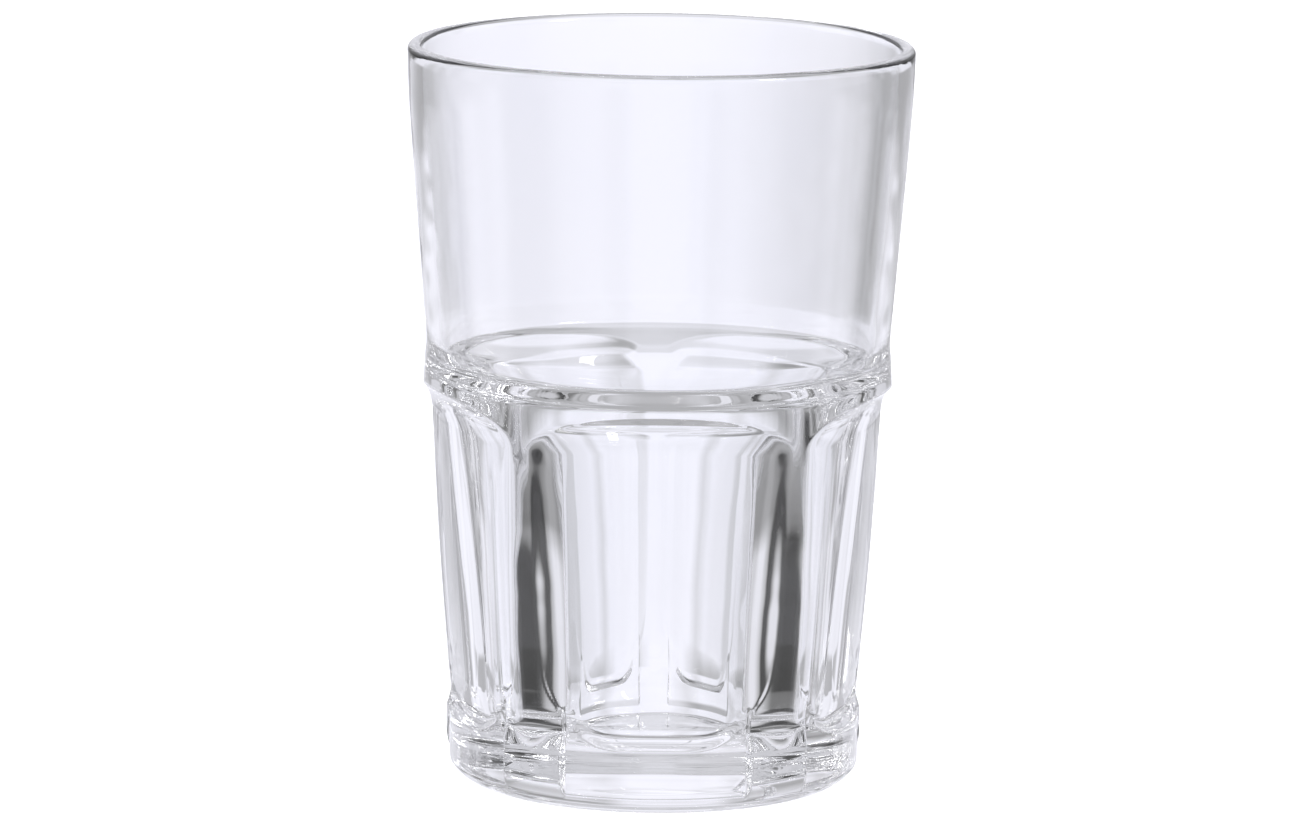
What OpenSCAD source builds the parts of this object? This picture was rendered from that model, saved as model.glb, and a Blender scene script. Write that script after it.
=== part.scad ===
// Stackable highball glass, pressed from one piece of clear glass.
// Millimetres, +Z up, origin on the table at the middle of the base.

/* [Overall] */
// Height from the table to the top of the rim
height = 125; // [120:1:132]
// Outer diameter at the rim
rim_d = 85; // [84:0.5:88]
// Thickness of the rounded rim
rim_t = 2.6; // [2:0.1:3]
// Height of the upright band under the rim
rim_band = 6; // [4:0.5:10]

/* [Upper wall] */
// Outer diameter at the neck, the narrowest place above the shoulder
neck_d = 77.8; // [77:0.2:78.6]
// Height of the neck above the table
neck_z = 75; // [74:0.5:78]
// Wall thickness at the neck
neck_t = 2.8; // [2.4:0.1:4]

/* [Shoulder] */
// Outer diameter of the shoulder where it is widest
shoulder_d = 78.8; // [78.6:0.1:80]
// Height at which the shoulder is widest
shoulder_z = 66.5; // [65:0.5:68]
// Inside diameter below the stacking ledge
ledge_d = 58; // [56:0.5:62]
// Height of the inner foot of the stacking ledge
ledge_z = 68.5; // [67:0.5:70]
// Rise of the stacking ledge from its foot to its edge
ledge_rise = 3.5; // [2:0.5:5]

/* [Panels] */
// Count of panels round the lower half
panels = 5; // [5:1:8]
// Width of the rib between two panels
rib_w = 5.8; // [4.8:0.2:6.8]
// Diameter over the ribs where they run down over the foot
rib_foot_d = 71; // [70.4:0.2:73]
// Height at which the ribs begin to lean out
rib_foot_z = 13.4; // [12.4:0.2:15]
// Diameter over the ribs where they run into the shoulder
rib_top_d = 78.2; // [77.6:0.1:78.4]
// Height at which the ribs run into the shoulder
rib_top_z = 58; // [56:0.5:60]
// Radius of the gentle outward curve across each panel
panel_curve = 105; // [85:5:200]
// Height of the lower end of the panels
panel_z = 11.6; // [11:0.2:13]
// Height of the upper end of the panels
panel_top_z = 69; // [68:0.5:70]
// Radius of the facetted cove at the top of each panel
panel_top_round = 8; // [6:0.5:9]
// Radius of the facetted cove at the bottom of each panel
panel_foot_round = 2.2; // [1.6:0.2:3]
// Fall of the ledge under each panel, in degrees
panel_fall = 8; // [4:1:12]

/* [Foot] */
// Outer diameter of the round foot between the ribs
foot_d = 69; // [68:0.2:70]
// Width of the ribs where they run down over the foot
rib_foot_w = 12.4; // [11:0.2:14]
// Radius of the rounded heel
heel_round = 7; // [5:0.5:8]
// Diameter of the hollow under the base
hollow_d = 49; // [40:1:52]
// Height of the hollow under the base
hollow_h = 2; // [1:0.2:3]

/* [Inside] */
// Height of the inner floor above the table
floor_z = 9.2; // [8:0.2:12]
// Inside diameter at the top of the floor's rounded corner
floor_d = 41; // [39:0.5:44]
// Radius of the rounded corner round the floor
floor_round = 5; // [4:0.5:7]
// How far the lower inner wall bulges towards the axis, half way up
inner_bow = 1.8; // [1.3:0.1:2.1]

/* [Hidden] */
$fn = 96;
rim_r = rim_d / 2;
rim_in_r = rim_r - rim_t;
rim_z = height - rim_t / 2;
band_z = height - rim_band;
neck_r = neck_d / 2;
ledge_r = ledge_d / 2;
rib_foot_r = rib_foot_d / 2;
rib_top_r = rib_top_d / 2;
foot_r = foot_d / 2;
rest_r = rib_foot_r - heel_round;
floor_r = floor_d / 2;
// Inner line of the lower wall, from the floor's corner to the ledge
inner_low = [floor_r, floor_z + floor_round];
inner_high = [ledge_r, ledge_z];
// Outer line of a rib, from the foot to the shoulder
rib_low = [rib_foot_r, rib_foot_z];
rib_high = [rib_top_r, rib_top_z];
// Radius over the ribs half way up
rib_mid_r = (rib_foot_r + rib_top_r) / 2;
// Angle from the middle of a panel to its edge, and how far the panel's middle stands out from a flat face
panel_half = 180 / panels - asin(rib_w / 2 / rib_mid_r);
panel_share = cos(panel_half);
panel_crown = panel_curve - sqrt(pow(panel_curve, 2) - pow(rib_mid_r * sin(panel_half), 2));
// Angle from the middle of a panel to the edge of the rib on the foot below it
foot_half = 180 / panels - asin(rib_foot_w / 2 / rib_foot_r);
// Middle of a panel's face, inside the rib's line, and how far it leans out
panel_low = [rib_low[0] * panel_share + panel_crown, rib_low[1]];
panel_high = [rib_high[0] * panel_share + panel_crown, rib_high[1]];
panel_lean = atan((panel_high[0] - panel_low[0]) / (panel_high[1] - panel_low[1]));
// Full turn of the cove at a panel's end, and the steps of its facets, in degrees
cove_turn = 90;
cove_step = 30;
// Radius past the outside of every panel, and how far a cut runs past a face
clear_r = 1.25 * rim_r;
cut_over = 1;
// Sphere that hollows the base
hollow_r = arc_r(hollow_d, hollow_h);
// Steps round the long arcs of the panels and inner wall
long_arc_fn = 720;

// Radius of an arc over a chord, from its rise
function arc_r(chord, rise) = (pow(chord / 2, 2) + pow(rise, 2)) / (2 * rise);

// Centre of the arc that bulges towards the axis between a lower and an upper point
function arc_centre(low, high, rise) =
    let (along = high - low, chord = norm(along))
    (low + high) / 2 + (arc_r(chord, rise) - rise) * [along[1], -along[0]] / chord;

// Point on the face of a panel at height z, in the panel's middle
function face_at(z) = [panel_low[0] + (z - panel_low[1]) * tan(panel_lean), z];

// Half section of the outside, with its round heel and rim
module outside() {
    polygon([
        [0, 0],
        [rest_r, 0],
        [rib_foot_r, heel_round],
        rib_low,
        rib_high,
        [shoulder_d / 2, shoulder_z],
        [neck_r, neck_z],
        [rim_r, band_z],
        [rim_r, rim_z],
        [0, rim_z]
    ]);
    translate([rest_r, heel_round])
        circle(r = heel_round);
    translate([rim_r - rim_t / 2, rim_z])
        circle(r = rim_t / 2);
}

// What lies outside an inward bulge between a lower and an upper point
module inward_bulge(low, high, rise) {
    intersection() {
        translate(arc_centre(low, high, rise))
            circle(r = arc_r(norm(high - low), rise), $fn = long_arc_fn);
        translate([0, low[1]])
            square([clear_r, high[1] - low[1]]);
    }
}

// Half section of the inside, from the round floor corner to the open top
module inside() {
    difference() {
        polygon([
            [0, floor_z],
            [floor_r - floor_round, floor_z],
            inner_low,
            inner_high,
            [neck_r - neck_t, ledge_z + ledge_rise],
            [rim_in_r, band_z],
            [rim_in_r, height + cut_over],
            [0, height + cut_over]
        ]);
        inward_bulge(inner_low, inner_high, inner_bow);
    }
    translate([floor_r - floor_round, floor_z + floor_round])
        circle(r = floor_round);
}

// Radial section of what a panel takes away, from well inside its face outwards, with a cove at each end
module panel_section() {
    low_z = panel_z + panel_foot_round;
    high_z = panel_top_z - panel_top_round;
    low = face_at(low_z) + [panel_foot_round, 0];
    high = face_at(high_z) + [panel_top_round, 0];
    polygon([
        [floor_r, low_z],
        for (t = [0 : cove_step : cove_turn - panel_fall])
            low - panel_foot_round * [cos(t), sin(t)],
        [clear_r, panel_z - (clear_r - low[0]) * tan(panel_fall)],
        [clear_r, panel_top_z],
        for (t = [cove_turn : -cove_step : 0])
            high + panel_top_round * [-cos(t), sin(t)],
        [floor_r, high_z]
    ]);
}

// What lies outside the round foot between two ribs
module foot_section() {
    difference() {
        polygon([
            [0, 0],
            clear_r * [cos(foot_half), -sin(foot_half)],
            clear_r * [cos(foot_half), sin(foot_half)]
        ]);
        circle(r = foot_r);
    }
}

// What one panel takes away, with the round foot below it, facing -Y
module panel_cut() {
    rotate([0, 0, -90]) {
        difference() {
            rotate([90, 0, 0])
                linear_extrude(height = 2 * clear_r, center = true)
                    panel_section();
            translate([panel_low[0], 0, panel_low[1]])
                rotate([0, panel_lean, 0])
                    translate([-panel_curve, 0, -panel_low[1]])
                        rotate([0, 0, 180])
                            cylinder(r = panel_curve, h = height, $fn = long_arc_fn);
        }
        translate([0, 0, -cut_over])
            linear_extrude(height = panel_z + panel_foot_round + cut_over)
                foot_section();
    }
}

module highball_glass() {
    color([0.90, 0.93, 0.97, 0.45])
        difference() {
            rotate_extrude()
                difference() {
                    outside();
                    inside();
                }
            for (i = [0 : panels - 1])
                rotate([0, 0, i * 360 / panels])
                    panel_cut();
            translate([0, 0, hollow_h - hollow_r])
                sphere(r = hollow_r);
        }
}

highball_glass();
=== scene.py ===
import math

import bpy
import numpy as np
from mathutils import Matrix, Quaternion, Vector


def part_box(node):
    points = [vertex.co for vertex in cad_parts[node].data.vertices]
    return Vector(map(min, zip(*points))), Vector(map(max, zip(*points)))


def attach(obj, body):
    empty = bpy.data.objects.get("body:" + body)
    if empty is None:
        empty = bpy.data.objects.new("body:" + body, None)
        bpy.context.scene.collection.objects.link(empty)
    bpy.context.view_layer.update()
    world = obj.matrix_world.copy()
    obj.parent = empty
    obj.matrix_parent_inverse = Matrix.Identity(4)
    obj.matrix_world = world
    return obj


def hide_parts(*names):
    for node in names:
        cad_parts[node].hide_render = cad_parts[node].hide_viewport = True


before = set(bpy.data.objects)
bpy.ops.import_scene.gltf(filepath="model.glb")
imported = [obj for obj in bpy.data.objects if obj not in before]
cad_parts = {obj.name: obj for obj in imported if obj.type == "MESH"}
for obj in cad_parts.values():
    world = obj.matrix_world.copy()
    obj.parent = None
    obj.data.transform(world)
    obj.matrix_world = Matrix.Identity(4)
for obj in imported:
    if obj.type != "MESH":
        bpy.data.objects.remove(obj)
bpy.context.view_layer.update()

# Sizes of the glass in millimetres, measured from the table. Pairs are (radius, height).
MM = 0.001
NODE = "highball_glass"
# Rim. Its height and radius come from the frame.
low_corner, high_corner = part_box(NODE)
HEIGHT = high_corner.z / MM
RIM_R = (high_corner.x - low_corner.x) / 2 / MM
RIM_T = 2.6
RIM_BAND = 6.0
BAND_BLEND = 3.0
# Upper wall, shoulder, and the stacking ledge inside the shoulder
NECK = (38.9, 75.0)
NECK_T = 2.8
SHOULDER_BOW = 0.4
LEDGE = (29.0, 68.5)
LEDGE_RISE = 3.5
LEDGE_BLEND = 1.4
# Ribs: the line along them and its bow, and the radius across them, with its (height, share)
RIB_FOOT = (35.5, 13.4)
RIB_TOP = (39.1, 58.0)
RIB_BOW = 0.35
RIB_W = 5.8
RIB_ROUND = 12.0
RIB_ROUND_FADE = ((11.0, 0.0), (14.0, 1.0), (56.0, 1.0), (64.0, 0.0))
EDGE_BLEND = 0.4
# Panels between the ribs: their curve, the coves at their ends, their round lower corners, and the ledge below
PANELS = 5
PANEL_CURVE = 105.0
PANEL_Z = 11.6
PANEL_TOP_Z = 69.0
PANEL_TOP_ROUND = 8.0
PANEL_FOOT_ROUND = 2.2
PANEL_CORNER = 12.0
PANEL_FALL = math.radians(8)
# Foot, round between the ribs that run down over it, with the hollow under it
FOOT_R = 34.5
RIB_FOOT_W = 12.4
RIB_FOOT_DRAFT = 3.0
FOOT_BLEND = 0.3
HEEL = 7.0
HOLLOW_R = 24.5
HOLLOW_H = 2.0
# Lower inside
FLOOR_Z = 9.2
FLOOR_R = 20.5
INNER_BOW = 1.8
FLOOR_ROUND = 5.0

# Angle from the middle of a panel to its edge, and how far its middle stands out from a flat face
RIB_MID_R = (RIB_FOOT[0] + RIB_TOP[0]) / 2
PANEL_HALF = math.pi / PANELS - math.asin(RIB_W / 2 / RIB_MID_R)
PANEL_CROWN = PANEL_CURVE - math.sqrt(PANEL_CURVE**2 - (RIB_MID_R * math.sin(PANEL_HALF)) ** 2)
# Angle from the middle of a panel to the edge of the rib on the foot below it
FOOT_HALF = math.pi / PANELS - math.asin(RIB_FOOT_W / 2 / RIB_FOOT[0])
# Height of the lower end of a panel's face, in its middle
PANEL_LOW = PANEL_Z + PANEL_FOOT_ROUND
# Heights at which the rim's outer curve, and the band under the rim, begin
RIM_Z = HEIGHT - RIM_T / 2
BAND_Z = HEIGHT - RIM_BAND
BLEND_Z = BAND_Z - BAND_BLEND
# A radius outside the whole glass, and how far outside a surface a cut may lie before it stops counting
AWAY = 2 * RIM_R
CUT_REACH = 6
# A panel cuts only what faces it: the least cosine of the turn from its middle
PANEL_FACING = 0.5

# Steps of the mesh. Round one panel: coarse over the flat, fine at the rib.
FLAT_STEPS = 40
RIB_STEPS = 48
RIB_ZONE = math.radians(11)
# Up the outside from the heel and down the inside from the rim, as (height, steps to it)
OUTER_STEPS = [
    (9.5, 3), (14.5, 33), (27, 24), (59, 15), (PANEL_TOP_Z + 1, 35), (NECK[1] + 2, 6), (BLEND_Z, 5), (RIM_Z, 9),
]
INNER_STEPS = [(BLEND_Z, 7), (NECK[1] + 1, 6), (LEDGE[1] - 2, 25), (FLOOR_Z + FLOOR_ROUND, 11)]
# Over the heel, the rim, the floor's corner, the floor (radii of its rings) and the hollow
HEEL_STEPS = 13
RIM_STEPS = 12
CORNER_STEPS = 12
FLOOR_RINGS = (8.0, 4.0)
HOLLOW_START = 4
HOLLOW_RINGS = 7

# Glass: faint patches of tint and haze, and waves (their height in metres), as (noise, value)
GLASS_IOR = 1.52
PATCH_SCALE = 25
GLASS_TINT = [(0.3, (0.985, 0.99, 1.0)), (0.7, (1.0, 1.0, 1.0))]
GLASS_HAZE = [(0.4, 0.0), (0.75, 0.012)]
WAVE_SCALE = 90
WAVE_STRENGTH = 0.25
WAVE_HEIGHT = 0.00025
GLASS_BOUNCES = 32

# Paper floor, in metres, just under the glass
FLOOR_HALF = 30
FLOOR_DROP = 0.0002
PAPER_ROUGH = 0.9
PAPER_GLOSS = 0.1
PAPER_GRAIN = 400
PAPER_TONE = [(0.3, 0.93), (0.7, 0.95)]

# Studio, as (place, brightness). By turn, 0 behind the glass and 1 behind the camera: what lies near and far.
STUDIO_NEAR = [
    (0.0, 0.97), (0.045, 1.0), (0.07, 0.78), (0.1, 0.97), (0.13, 0.92), (0.19, 0.9), (0.21, 0.68), (0.225, 0.68),
    (0.245, 0.9), (0.262, 0.9), (0.28, 0.35), (0.3, 0.35), (0.315, 0.75), (0.323, 0.75), (0.333, 0.35),
    (0.342, 0.06), (0.366, 0.06), (0.378, 0.45), (0.41, 0.8), (0.44, 0.8), (0.46, 0.6), (0.52, 0.65), (0.55, 0.15),
    (0.6, 0.06), (0.66, 0.06), (0.72, 0.4), (0.82, 0.62), (0.88, 0.3), (0.91, 0.72), (1.0, 0.78),
]
STUDIO_FAR = [
    (0.0, 1.0), (0.025, 1.0), (0.055, 0.8), (0.09, 0.5), (0.14, 0.4), (0.25, 0.4), (0.52, 0.2), (0.62, 0.12),
    (0.72, 0.5), (0.85, 0.74), (1.0, 0.84),
]
# By height, 0 straight down and 1 straight up: share of what lies far, and how much of both is left after dimming
STUDIO_FAR_SHARE = [(0.407, 0.0), (0.413, 1.0), (0.48, 1.0), (0.5, 0.0)]
STUDIO_DIM = [
    (0.13, 0.5), (0.155, 0.55), (0.18, 0.45), (0.24, 0.45), (0.27, 1.0), (0.437, 1.0), (0.455, 0.7), (0.508, 0.45),
    (0.57, 0.7), (0.64, 0.95),
]
# By turn: share of that dimming
STUDIO_DIM_SHARE = [(0.05, 0.4), (0.08, 1.0)]
# By height: share and brightness of the light from below and above
STUDIO_ENDS_SHARE = [(0.09, 1.0), (0.13, 0.0), (0.58, 0.0), (0.72, 0.9), (1.0, 1.0)]
STUDIO_ENDS = [
    (0.0, 0.42), (0.05, 0.42), (0.1, 0.64), (0.13, 0.5), (0.5, 0.95), (0.7, 0.95), (0.8, 0.68), (1.0, 0.62),
]
# Turn of the whole studio about the glass in degrees, cool cast of its bright parts, and overall brightness
STUDIO_TURN = -2.9
STUDIO_CAST = (0.955, 0.955, 1.045)
STUDIO_LEVEL = 1.05
# Half turns in a full turn, and the half turns after which Blender's radial gradient comes to +Y
HALF_TURNS = 2
GRADIENT_Y = 1.5

# Lamps: a soft box beside the glass, in metres and watts, and a broad sun, in degrees
BOX_AT = (0.9, -0.7, 0.7)
BOX_SIZE = (0.25, 0.5)
BOX_POWER = 4
BOX_AIM = (0, 0, 0.06)
SUN_LEVEL = 3.2
SUN_SPREAD = 25
SUN_TILT = (-20, 15)

# Camera: distance and aim in metres, angles in degrees, and where the aim falls in the picture, in its pixels
IMAGE_W, IMAGE_H = 1293, 814
CAMERA_FAR = 1.45
CAMERA_RISE = 9.6
CAMERA_TURN = -0.85
CAMERA_ROLL = 0.7
CAMERA_AIM = 0.0663
PIXELS_PER_METRE = 5950
AIM_AT = (657.5, 390)
SENSOR_W = 36


def soft_min(a, b, k):
    """The smaller of a and b, with the corner between them rounded over k."""
    h = np.clip(0.5 + 0.5 * (b - a) / k, 0, 1)
    return b * (1 - h) + a * h - k * h * (1 - h)


def soft_max(a, b, k):
    """The larger of a and b, with the corner between them rounded over k."""
    return -soft_min(-a, -b, k)


def bowed(z, low, high, rise):
    """Radius at height z on a line from low to high, both (radius, height), that bulges by rise."""
    t = (z - low[1]) / (high[1] - low[1])
    return low[0] + (high[0] - low[0]) * t + 4 * rise * t * (1 - t)


def stepped(start, stops):
    """Heights after start, evenly to each stop in turn. A stop is (height, steps to it)."""
    starts = [start] + [height for height, _ in stops]
    return np.concatenate([np.linspace(a, b, steps + 1)[1:] for a, (b, steps) in zip(starts, stops)])


def body_radius(z):
    """Radius of the outside without its panels."""
    heel = RIB_FOOT[0] - HEEL + np.sqrt(HEEL**2 - np.clip(HEEL - z, 0, HEEL) ** 2)
    rib = np.where(
        z < RIB_TOP[1],
        bowed(z, RIB_FOOT, RIB_TOP, RIB_BOW),
        bowed(z, RIB_TOP, NECK, SHOULDER_BOW),
    )
    lower = np.where(z < HEEL, heel, np.maximum(rib, RIB_FOOT[0]))
    wall = bowed(z, NECK, (RIM_R, BAND_Z), 0)
    upper = soft_min(wall, np.full_like(z, RIM_R), BAND_BLEND / 4)
    return np.where(z < NECK[1], lower, upper)


def corner_lift(turn):
    """How much higher a panel ends beside its middle, because its lower corners are round."""
    start = RIB_FOOT[0] * math.sin(PANEL_HALF) - PANEL_CORNER
    side = np.clip(RIB_FOOT[0] * np.abs(np.sin(turn)) - start, 0, PANEL_CORNER)
    return PANEL_CORNER - np.sqrt(PANEL_CORNER**2 - side**2)


def panel_radius(z, lift):
    """Distance from the axis to the middle of a panel's face, with the coves at its ends, the lower one lifted."""
    high = PANEL_TOP_Z - PANEL_TOP_ROUND
    share = math.cos(PANEL_HALF)
    face = PANEL_CROWN + share * bowed(np.clip(z, PANEL_LOW, high), RIB_FOOT, RIB_TOP, RIB_BOW)
    up = np.clip(z - high, 0, PANEL_TOP_ROUND)
    face += PANEL_TOP_ROUND - np.sqrt(PANEL_TOP_ROUND**2 - up**2)
    down = np.clip(PANEL_LOW + lift - z, 0, None)
    cove = PANEL_FOOT_ROUND * math.cos(PANEL_FALL)
    face = face + PANEL_FOOT_ROUND - np.sqrt(PANEL_FOOT_ROUND**2 - np.minimum(down, cove) ** 2)
    face += np.clip(down - cove, 0, None) / math.tan(PANEL_FALL)
    return np.where(z < PANEL_TOP_Z, face, AWAY)


def inner_radius(z):
    """Radius of the inside, from the floor's rounded corner to the rim."""
    corner = (FLOOR_R, FLOOR_Z + FLOOR_ROUND)
    ledge_top = (NECK[0] - NECK_T, LEDGE[1] + LEDGE_RISE)
    rim_in = RIM_R - RIM_T
    lower = bowed(z, corner, LEDGE, -INNER_BOW)
    slope = bowed(z, LEDGE, ledge_top, 0)
    upper = bowed(z, ledge_top, (rim_in, BAND_Z), 0)
    upper = soft_min(upper, np.full_like(z, rim_in), BAND_BLEND / 4)
    return soft_min(soft_max(lower, slope, LEDGE_BLEND), upper, LEDGE_BLEND)


def angles():
    """Angles round the glass, a full turn, with panels centred on -Y and every 72 degrees from it."""
    half = math.pi / PANELS
    flat = half - RIB_ZONE
    one = np.concatenate([
        np.linspace(-flat, flat, FLAT_STEPS, endpoint=False),
        np.linspace(flat, half + RIB_ZONE, RIB_STEPS, endpoint=False),
    ])
    return np.concatenate([one - math.pi / 2 + 2 * half * i for i in range(PANELS)])


def rib_crown(theta, z, r):
    """How far a rib falls away beside its middle, because it is rounder than the body."""
    pitch = 2 * math.pi / PANELS
    off = np.abs((theta + math.pi / 2) % pitch - pitch / 2)
    side = r * np.sin(np.minimum(off, RIB_ZONE))[None, :]
    share = np.interp(z, *zip(*RIB_ROUND_FADE))[:, None]
    return share * (1 / RIB_ROUND - 1 / r) * side**2 / 2


def outer_rings(theta):
    """(radii, height) of each ring of the outside, from the heel to the rim."""
    heel = HEEL * (1 - np.cos(np.linspace(0, math.pi / 2, HEEL_STEPS + 1)))
    z = np.concatenate([heel, stepped(HEEL, OUTER_STEPS)])
    r = np.repeat(body_radius(z)[:, None], len(theta), 1)
    r = r - rib_crown(theta, z, r)
    for i in range(PANELS):
        turn = theta + math.pi / 2 - 2 * math.pi * i / PANELS
        lift = corner_lift(turn)[None, :]
        # Face of the panel, an arc round an axis on the far side of the glass
        axis = np.minimum(panel_radius(z[:, None], lift) - PANEL_CURVE, 0)
        facing = np.cos(turn)[None, :]
        panel = axis * facing + np.sqrt(PANEL_CURVE**2 - (axis * np.sin(turn)[None, :]) ** 2)
        panel = np.where(facing > PANEL_FACING, panel, AWAY)
        r = soft_min(r, np.minimum(panel, r + CUT_REACH), EDGE_BLEND)
        # Round foot below the panel, up to the ribs beside it
        foot = np.where(z[:, None] < PANEL_LOW + lift, FOOT_R, AWAY)
        past = np.abs((turn + math.pi) % (2 * math.pi) - math.pi) - FOOT_HALF
        side = RIB_FOOT_DRAFT * RIB_FOOT[0] * np.clip(past, 0, None)
        r = soft_min(r, np.minimum(foot + side[None, :], r + CUT_REACH), FOOT_BLEND)
    return list(zip(r, z))


def round_rings(theta):
    """(radii, height) of the rings that go on from the outside: over the rim, down the inside, over the floor."""
    even = np.ones_like(theta)
    rim = [
        (even * (RIM_R - RIM_T / 2 * (1 - math.cos(t))), HEIGHT - RIM_T / 2 * (1 - math.sin(t)))
        for t in np.linspace(0, math.pi, RIM_STEPS + 1)[1:]
    ]
    z = stepped(RIM_Z, INNER_STEPS)
    wall = [(even * r, h) for r, h in zip(inner_radius(z), z)]
    corner = [
        (even * (FLOOR_R - FLOOR_ROUND * (1 - math.cos(t))), FLOOR_Z + FLOOR_ROUND * (1 - math.sin(t)))
        for t in np.linspace(0, math.pi / 2, CORNER_STEPS + 1)[1:]
    ]
    floor = [(even * r, FLOOR_Z) for r in FLOOR_RINGS]
    return rim + wall + corner + floor


def hollow_rings(theta):
    """(radii, height) of the rings of the hollow under the base, from its middle outwards."""
    ball = (HOLLOW_R**2 + HOLLOW_H**2) / (2 * HOLLOW_H)
    radii = np.linspace(HOLLOW_START, HOLLOW_R, HOLLOW_RINGS)
    return [(np.full_like(theta, r), HOLLOW_H - ball + math.sqrt(ball**2 - r**2)) for r in radii]


def glass_mesh():
    """The whole glass as one closed skin: hollow, heel, outside, rim, inside, floor."""
    theta = angles()
    rings = hollow_rings(theta) + outer_rings(theta) + round_rings(theta)
    n = len(theta)
    points = np.array([[r * np.cos(theta), r * np.sin(theta), np.full(n, z)] for r, z in rings])
    points = points.transpose(0, 2, 1).reshape(-1, 3)
    under, inside = len(points), len(points) + 1
    points = np.vstack([points, [0, 0, HOLLOW_H], [0, 0, FLOOR_Z]])
    i, j = np.meshgrid(np.arange(len(rings) - 1) * n, np.arange(n), indexing="ij")
    k = (j + 1) % n
    quads = np.stack([i + j, i + k, i + n + k, i + n + j], -1).reshape(-1, 4).tolist()
    last = (len(rings) - 1) * n
    fans = [(under, (a + 1) % n, a) for a in range(n)]
    fans += [(inside, last + a, last + (a + 1) % n) for a in range(n)]
    mesh = bpy.data.meshes.new("glass_body")
    mesh.from_pydata((points * MM).tolist(), [], quads + fans)
    mesh.polygons.foreach_set("use_smooth", [True] * len(mesh.polygons))
    mesh.update()
    return mesh


def add(mesh_or_data, name):
    """A new object in the scene."""
    obj = bpy.data.objects.new(name, mesh_or_data)
    bpy.context.scene.collection.objects.link(obj)
    return obj


def new_node(tree, kind, **settings):
    """A new node of a kind in tree, with its settings."""
    node = tree.nodes.new(kind)
    for key, value in settings.items():
        setattr(node, key, value)
    return node


def ramp(tree, source, stops):
    """Colour ramp over source with (place, grey level) or (place, colour) stops."""
    node = new_node(tree, "ShaderNodeValToRGB")
    tree.links.new(source, node.inputs[0])
    elements = node.color_ramp.elements
    elements.remove(elements[-1])
    for index, (place, colour) in enumerate(stops):
        element = elements[0] if index == 0 else elements.new(place)
        element.position = place
        colour = colour if isinstance(colour, tuple) else (colour,) * 3
        element.color = (*colour, 1)
    return node.outputs[0]


def mixed(tree, share, first, second):
    """First colour turned into the second by share."""
    node = new_node(tree, "ShaderNodeMixRGB")
    tree.links.new(share, node.inputs[0])
    tree.links.new(first, node.inputs[1])
    tree.links.new(second, node.inputs[2])
    return node.outputs[0]


def times(tree, first, second):
    """Product of two colours."""
    node = new_node(tree, "ShaderNodeMixRGB", blend_type="MULTIPLY")
    node.inputs[0].default_value = 1
    tree.links.new(first, node.inputs[1])
    tree.links.new(second, node.inputs[2])
    return node.outputs[0]


def noise(tree, scale):
    """Noise over the object's own coordinates."""
    node = new_node(tree, "ShaderNodeTexNoise")
    node.inputs["Scale"].default_value = scale
    tree.links.new(new_node(tree, "ShaderNodeTexCoord").outputs["Object"], node.inputs["Vector"])
    return node


def glass_material():
    """Clear pressed glass: a faint cool cast in patches, tiny waves, and lamps shine through it."""
    material = bpy.data.materials.new("clear_pressed_glass")
    material.use_nodes = True
    tree = material.node_tree
    links = tree.links
    shader = tree.nodes["Principled BSDF"]
    shader.inputs["Transmission Weight"].default_value = 1.0
    shader.inputs["IOR"].default_value = GLASS_IOR
    patches = noise(tree, PATCH_SCALE)
    links.new(ramp(tree, patches.outputs["Fac"], GLASS_TINT), shader.inputs["Base Color"])
    links.new(ramp(tree, patches.outputs["Fac"], GLASS_HAZE), shader.inputs["Roughness"])
    waves = noise(tree, WAVE_SCALE)
    waves.inputs["Detail"].default_value = 1
    bump = new_node(tree, "ShaderNodeBump")
    bump.inputs["Strength"].default_value = WAVE_STRENGTH
    bump.inputs["Distance"].default_value = WAVE_HEIGHT
    links.new(waves.outputs["Fac"], bump.inputs["Height"])
    links.new(bump.outputs["Normal"], shader.inputs["Normal"])
    through = new_node(tree, "ShaderNodeBsdfTransparent")
    path = new_node(tree, "ShaderNodeLightPath")
    mix = new_node(tree, "ShaderNodeMixShader")
    links.new(path.outputs["Is Shadow Ray"], mix.inputs[0])
    links.new(shader.outputs[0], mix.inputs[1])
    links.new(through.outputs[0], mix.inputs[2])
    links.new(mix.outputs[0], tree.nodes["Material Output"].inputs["Surface"])
    return material


def floor_material():
    """Matt white studio paper with a faint grain."""
    material = bpy.data.materials.new("white_paper")
    material.use_nodes = True
    tree = material.node_tree
    shader = tree.nodes["Principled BSDF"]
    shader.inputs["Roughness"].default_value = PAPER_ROUGH
    shader.inputs["Specular IOR Level"].default_value = PAPER_GLOSS
    grain = noise(tree, PAPER_GRAIN)
    tree.links.new(ramp(tree, grain.outputs["Fac"], PAPER_TONE), shader.inputs["Base Color"])
    return material


def build_floor():
    """Wide paper floor. The glass looks past it to the studio round it."""
    half = FLOOR_HALF
    mesh = bpy.data.meshes.new("paper_floor")
    mesh.from_pydata([(-half, -half, 0), (half, -half, 0), (half, half, 0), (-half, half, 0)], [], [(0, 1, 2, 3)])
    mesh.materials.append(floor_material())
    floor = add(mesh, "paper_floor")
    floor.visible_transmission = False
    floor.visible_glossy = False
    floor.location.z = -FLOOR_DROP


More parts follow.
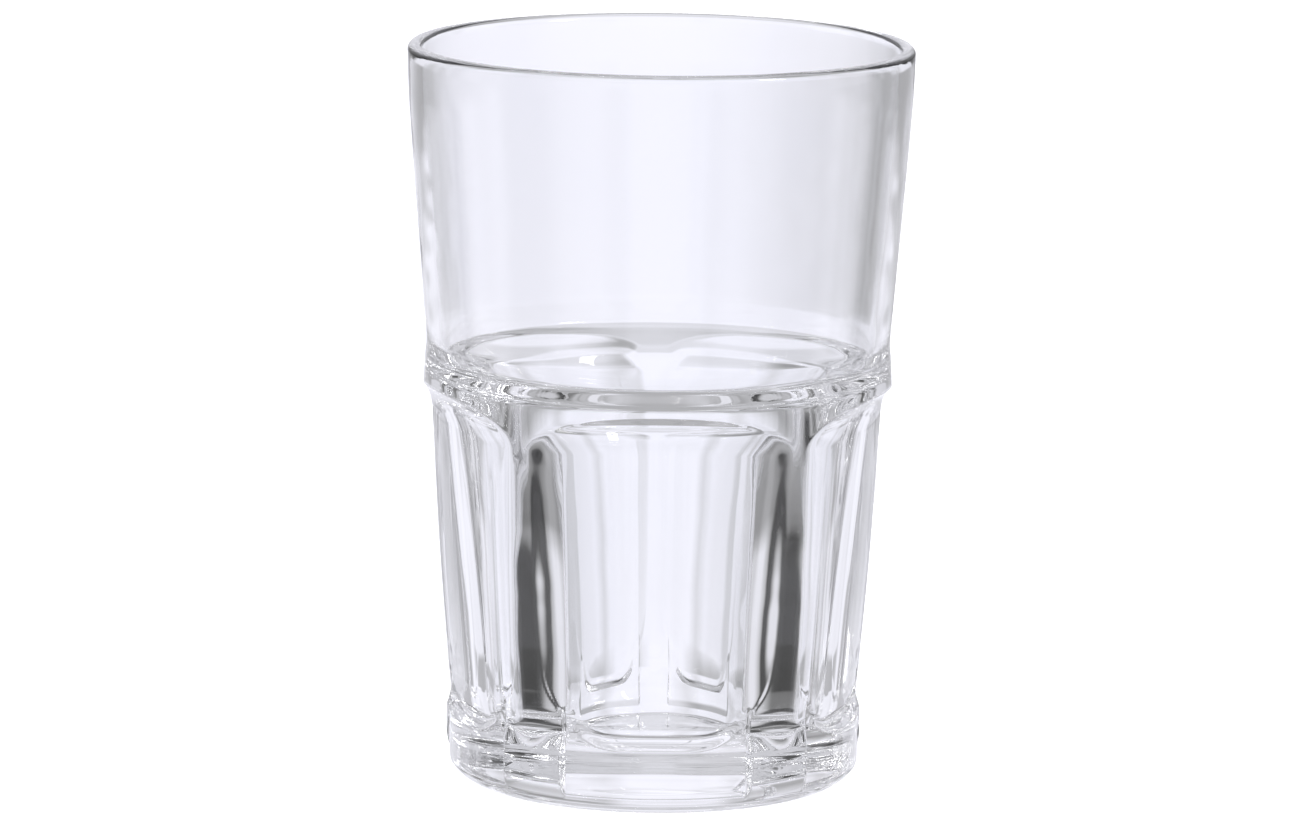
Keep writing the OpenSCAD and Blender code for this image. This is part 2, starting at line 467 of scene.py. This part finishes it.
def build_world():
    """Studio round the glass: a bright sheet behind it, dark gaps beside the sheet, a paler room in front."""
    world = bpy.data.worlds.new("studio")
    bpy.context.scene.world = world
    world.use_nodes = True
    tree = world.node_tree
    links = tree.links
    way = new_node(tree, "ShaderNodeTexCoord").outputs["Generated"]
    turn = new_node(tree, "ShaderNodeTexGradient", gradient_type="RADIAL")
    links.new(way, turn.inputs[0])
    # Half turns from +Y, folded so that both sides are alike: 0 behind the glass, 1 behind the camera
    behind = new_node(tree, "ShaderNodeMath", operation="MULTIPLY_ADD")
    links.new(turn.outputs["Fac"], behind.inputs[0])
    behind.inputs[1].default_value = HALF_TURNS
    behind.inputs[2].default_value = -GRADIENT_Y + STUDIO_TURN / 180
    fold = new_node(tree, "ShaderNodeMath", operation="PINGPONG")
    links.new(behind.outputs[0], fold.inputs[0])
    fold.inputs[1].default_value = 1
    # Height of the direction: 0 straight down, 0.5 level, 1 straight up
    split = new_node(tree, "ShaderNodeSeparateXYZ")
    links.new(way, split.inputs[0])
    level = new_node(tree, "ShaderNodeMapRange")
    level.inputs["From Min"].default_value = -1
    links.new(split.outputs["Z"], level.inputs["Value"])
    near = ramp(tree, fold.outputs[0], STUDIO_NEAR)
    far = ramp(tree, fold.outputs[0], STUDIO_FAR)
    ends = ramp(tree, level.outputs[0], STUDIO_ENDS)
    around = mixed(tree, ramp(tree, level.outputs[0], STUDIO_FAR_SHARE), near, far)
    dimmed = times(tree, around, ramp(tree, level.outputs[0], STUDIO_DIM))
    around = mixed(tree, ramp(tree, fold.outputs[0], STUDIO_DIM_SHARE), around, dimmed)
    around = mixed(tree, ramp(tree, level.outputs[0], STUDIO_ENDS_SHARE), around, ends)
    # Only what is bright has the cast
    plain, cast = (new_node(tree, "ShaderNodeRGB") for _ in range(2))
    plain.outputs[0].default_value = (1, 1, 1, 1)
    cast.outputs[0].default_value = (*STUDIO_CAST, 1)
    tint = mixed(tree, around, plain.outputs[0], cast.outputs[0])
    back = tree.nodes["Background"]
    links.new(times(tree, around, tint), back.inputs["Color"])
    back.inputs["Strength"].default_value = STUDIO_LEVEL


def add_soft_box():
    """Soft box beside the glass, that faces its middle."""
    data = bpy.data.lights.new("right_box", "AREA")
    data.shape = "RECTANGLE"
    data.size, data.size_y = BOX_SIZE
    data.energy = BOX_POWER
    light = add(data, "right_box")
    light.location = BOX_AT
    light.rotation_euler = (Vector(BOX_AIM) - light.location).to_track_quat("-Z", "Y").to_euler()


def add_sun():
    """Broad even light from above, that keeps the paper white to the edges of the picture."""
    data = bpy.data.lights.new("even_light", "SUN")
    data.energy = SUN_LEVEL
    data.angle = math.radians(SUN_SPREAD)
    sun = add(data, "even_light")
    sun.visible_glossy = False
    sun.visible_transmission = False
    sun.rotation_euler = (math.radians(SUN_TILT[0]), math.radians(SUN_TILT[1]), 0)


def build_camera():
    """Camera at the photograph's angle: a long lens, a little above the glass, and tilted a little."""
    data = bpy.data.cameras.new("camera")
    camera = add(data, "camera")
    rise, turn = math.radians(CAMERA_RISE), math.radians(CAMERA_TURN)
    out = Vector((math.sin(turn) * math.cos(rise), -math.cos(turn) * math.cos(rise), math.sin(rise)))
    target = Vector((0, 0, CAMERA_AIM))
    camera.location = target + CAMERA_FAR * out
    camera.rotation_mode = "QUATERNION"
    roll = Quaternion((0, 0, 1), math.radians(CAMERA_ROLL))
    camera.rotation_quaternion = (-out).to_track_quat("-Z", "Y") @ roll
    data.sensor_width = SENSOR_W
    data.lens = SENSOR_W * CAMERA_FAR * PIXELS_PER_METRE / IMAGE_W
    data.shift_x = (IMAGE_W / 2 - AIM_AT[0]) / IMAGE_W
    data.shift_y = (AIM_AT[1] - IMAGE_H / 2) / IMAGE_W
    bpy.context.scene.camera = camera


glass = add(glass_mesh(), "glass")
glass.data.materials.append(glass_material())
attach(glass, "root")
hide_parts(NODE)

build_floor()
build_world()
add_soft_box()
add_sun()
build_camera()
scene = bpy.context.scene
scene.view_settings.view_transform = "Standard"
scene.cycles.max_bounces = GLASS_BOUNCES
scene.cycles.transmission_bounces = GLASS_BOUNCES
scene.cycles.glossy_bounces = GLASS_BOUNCES
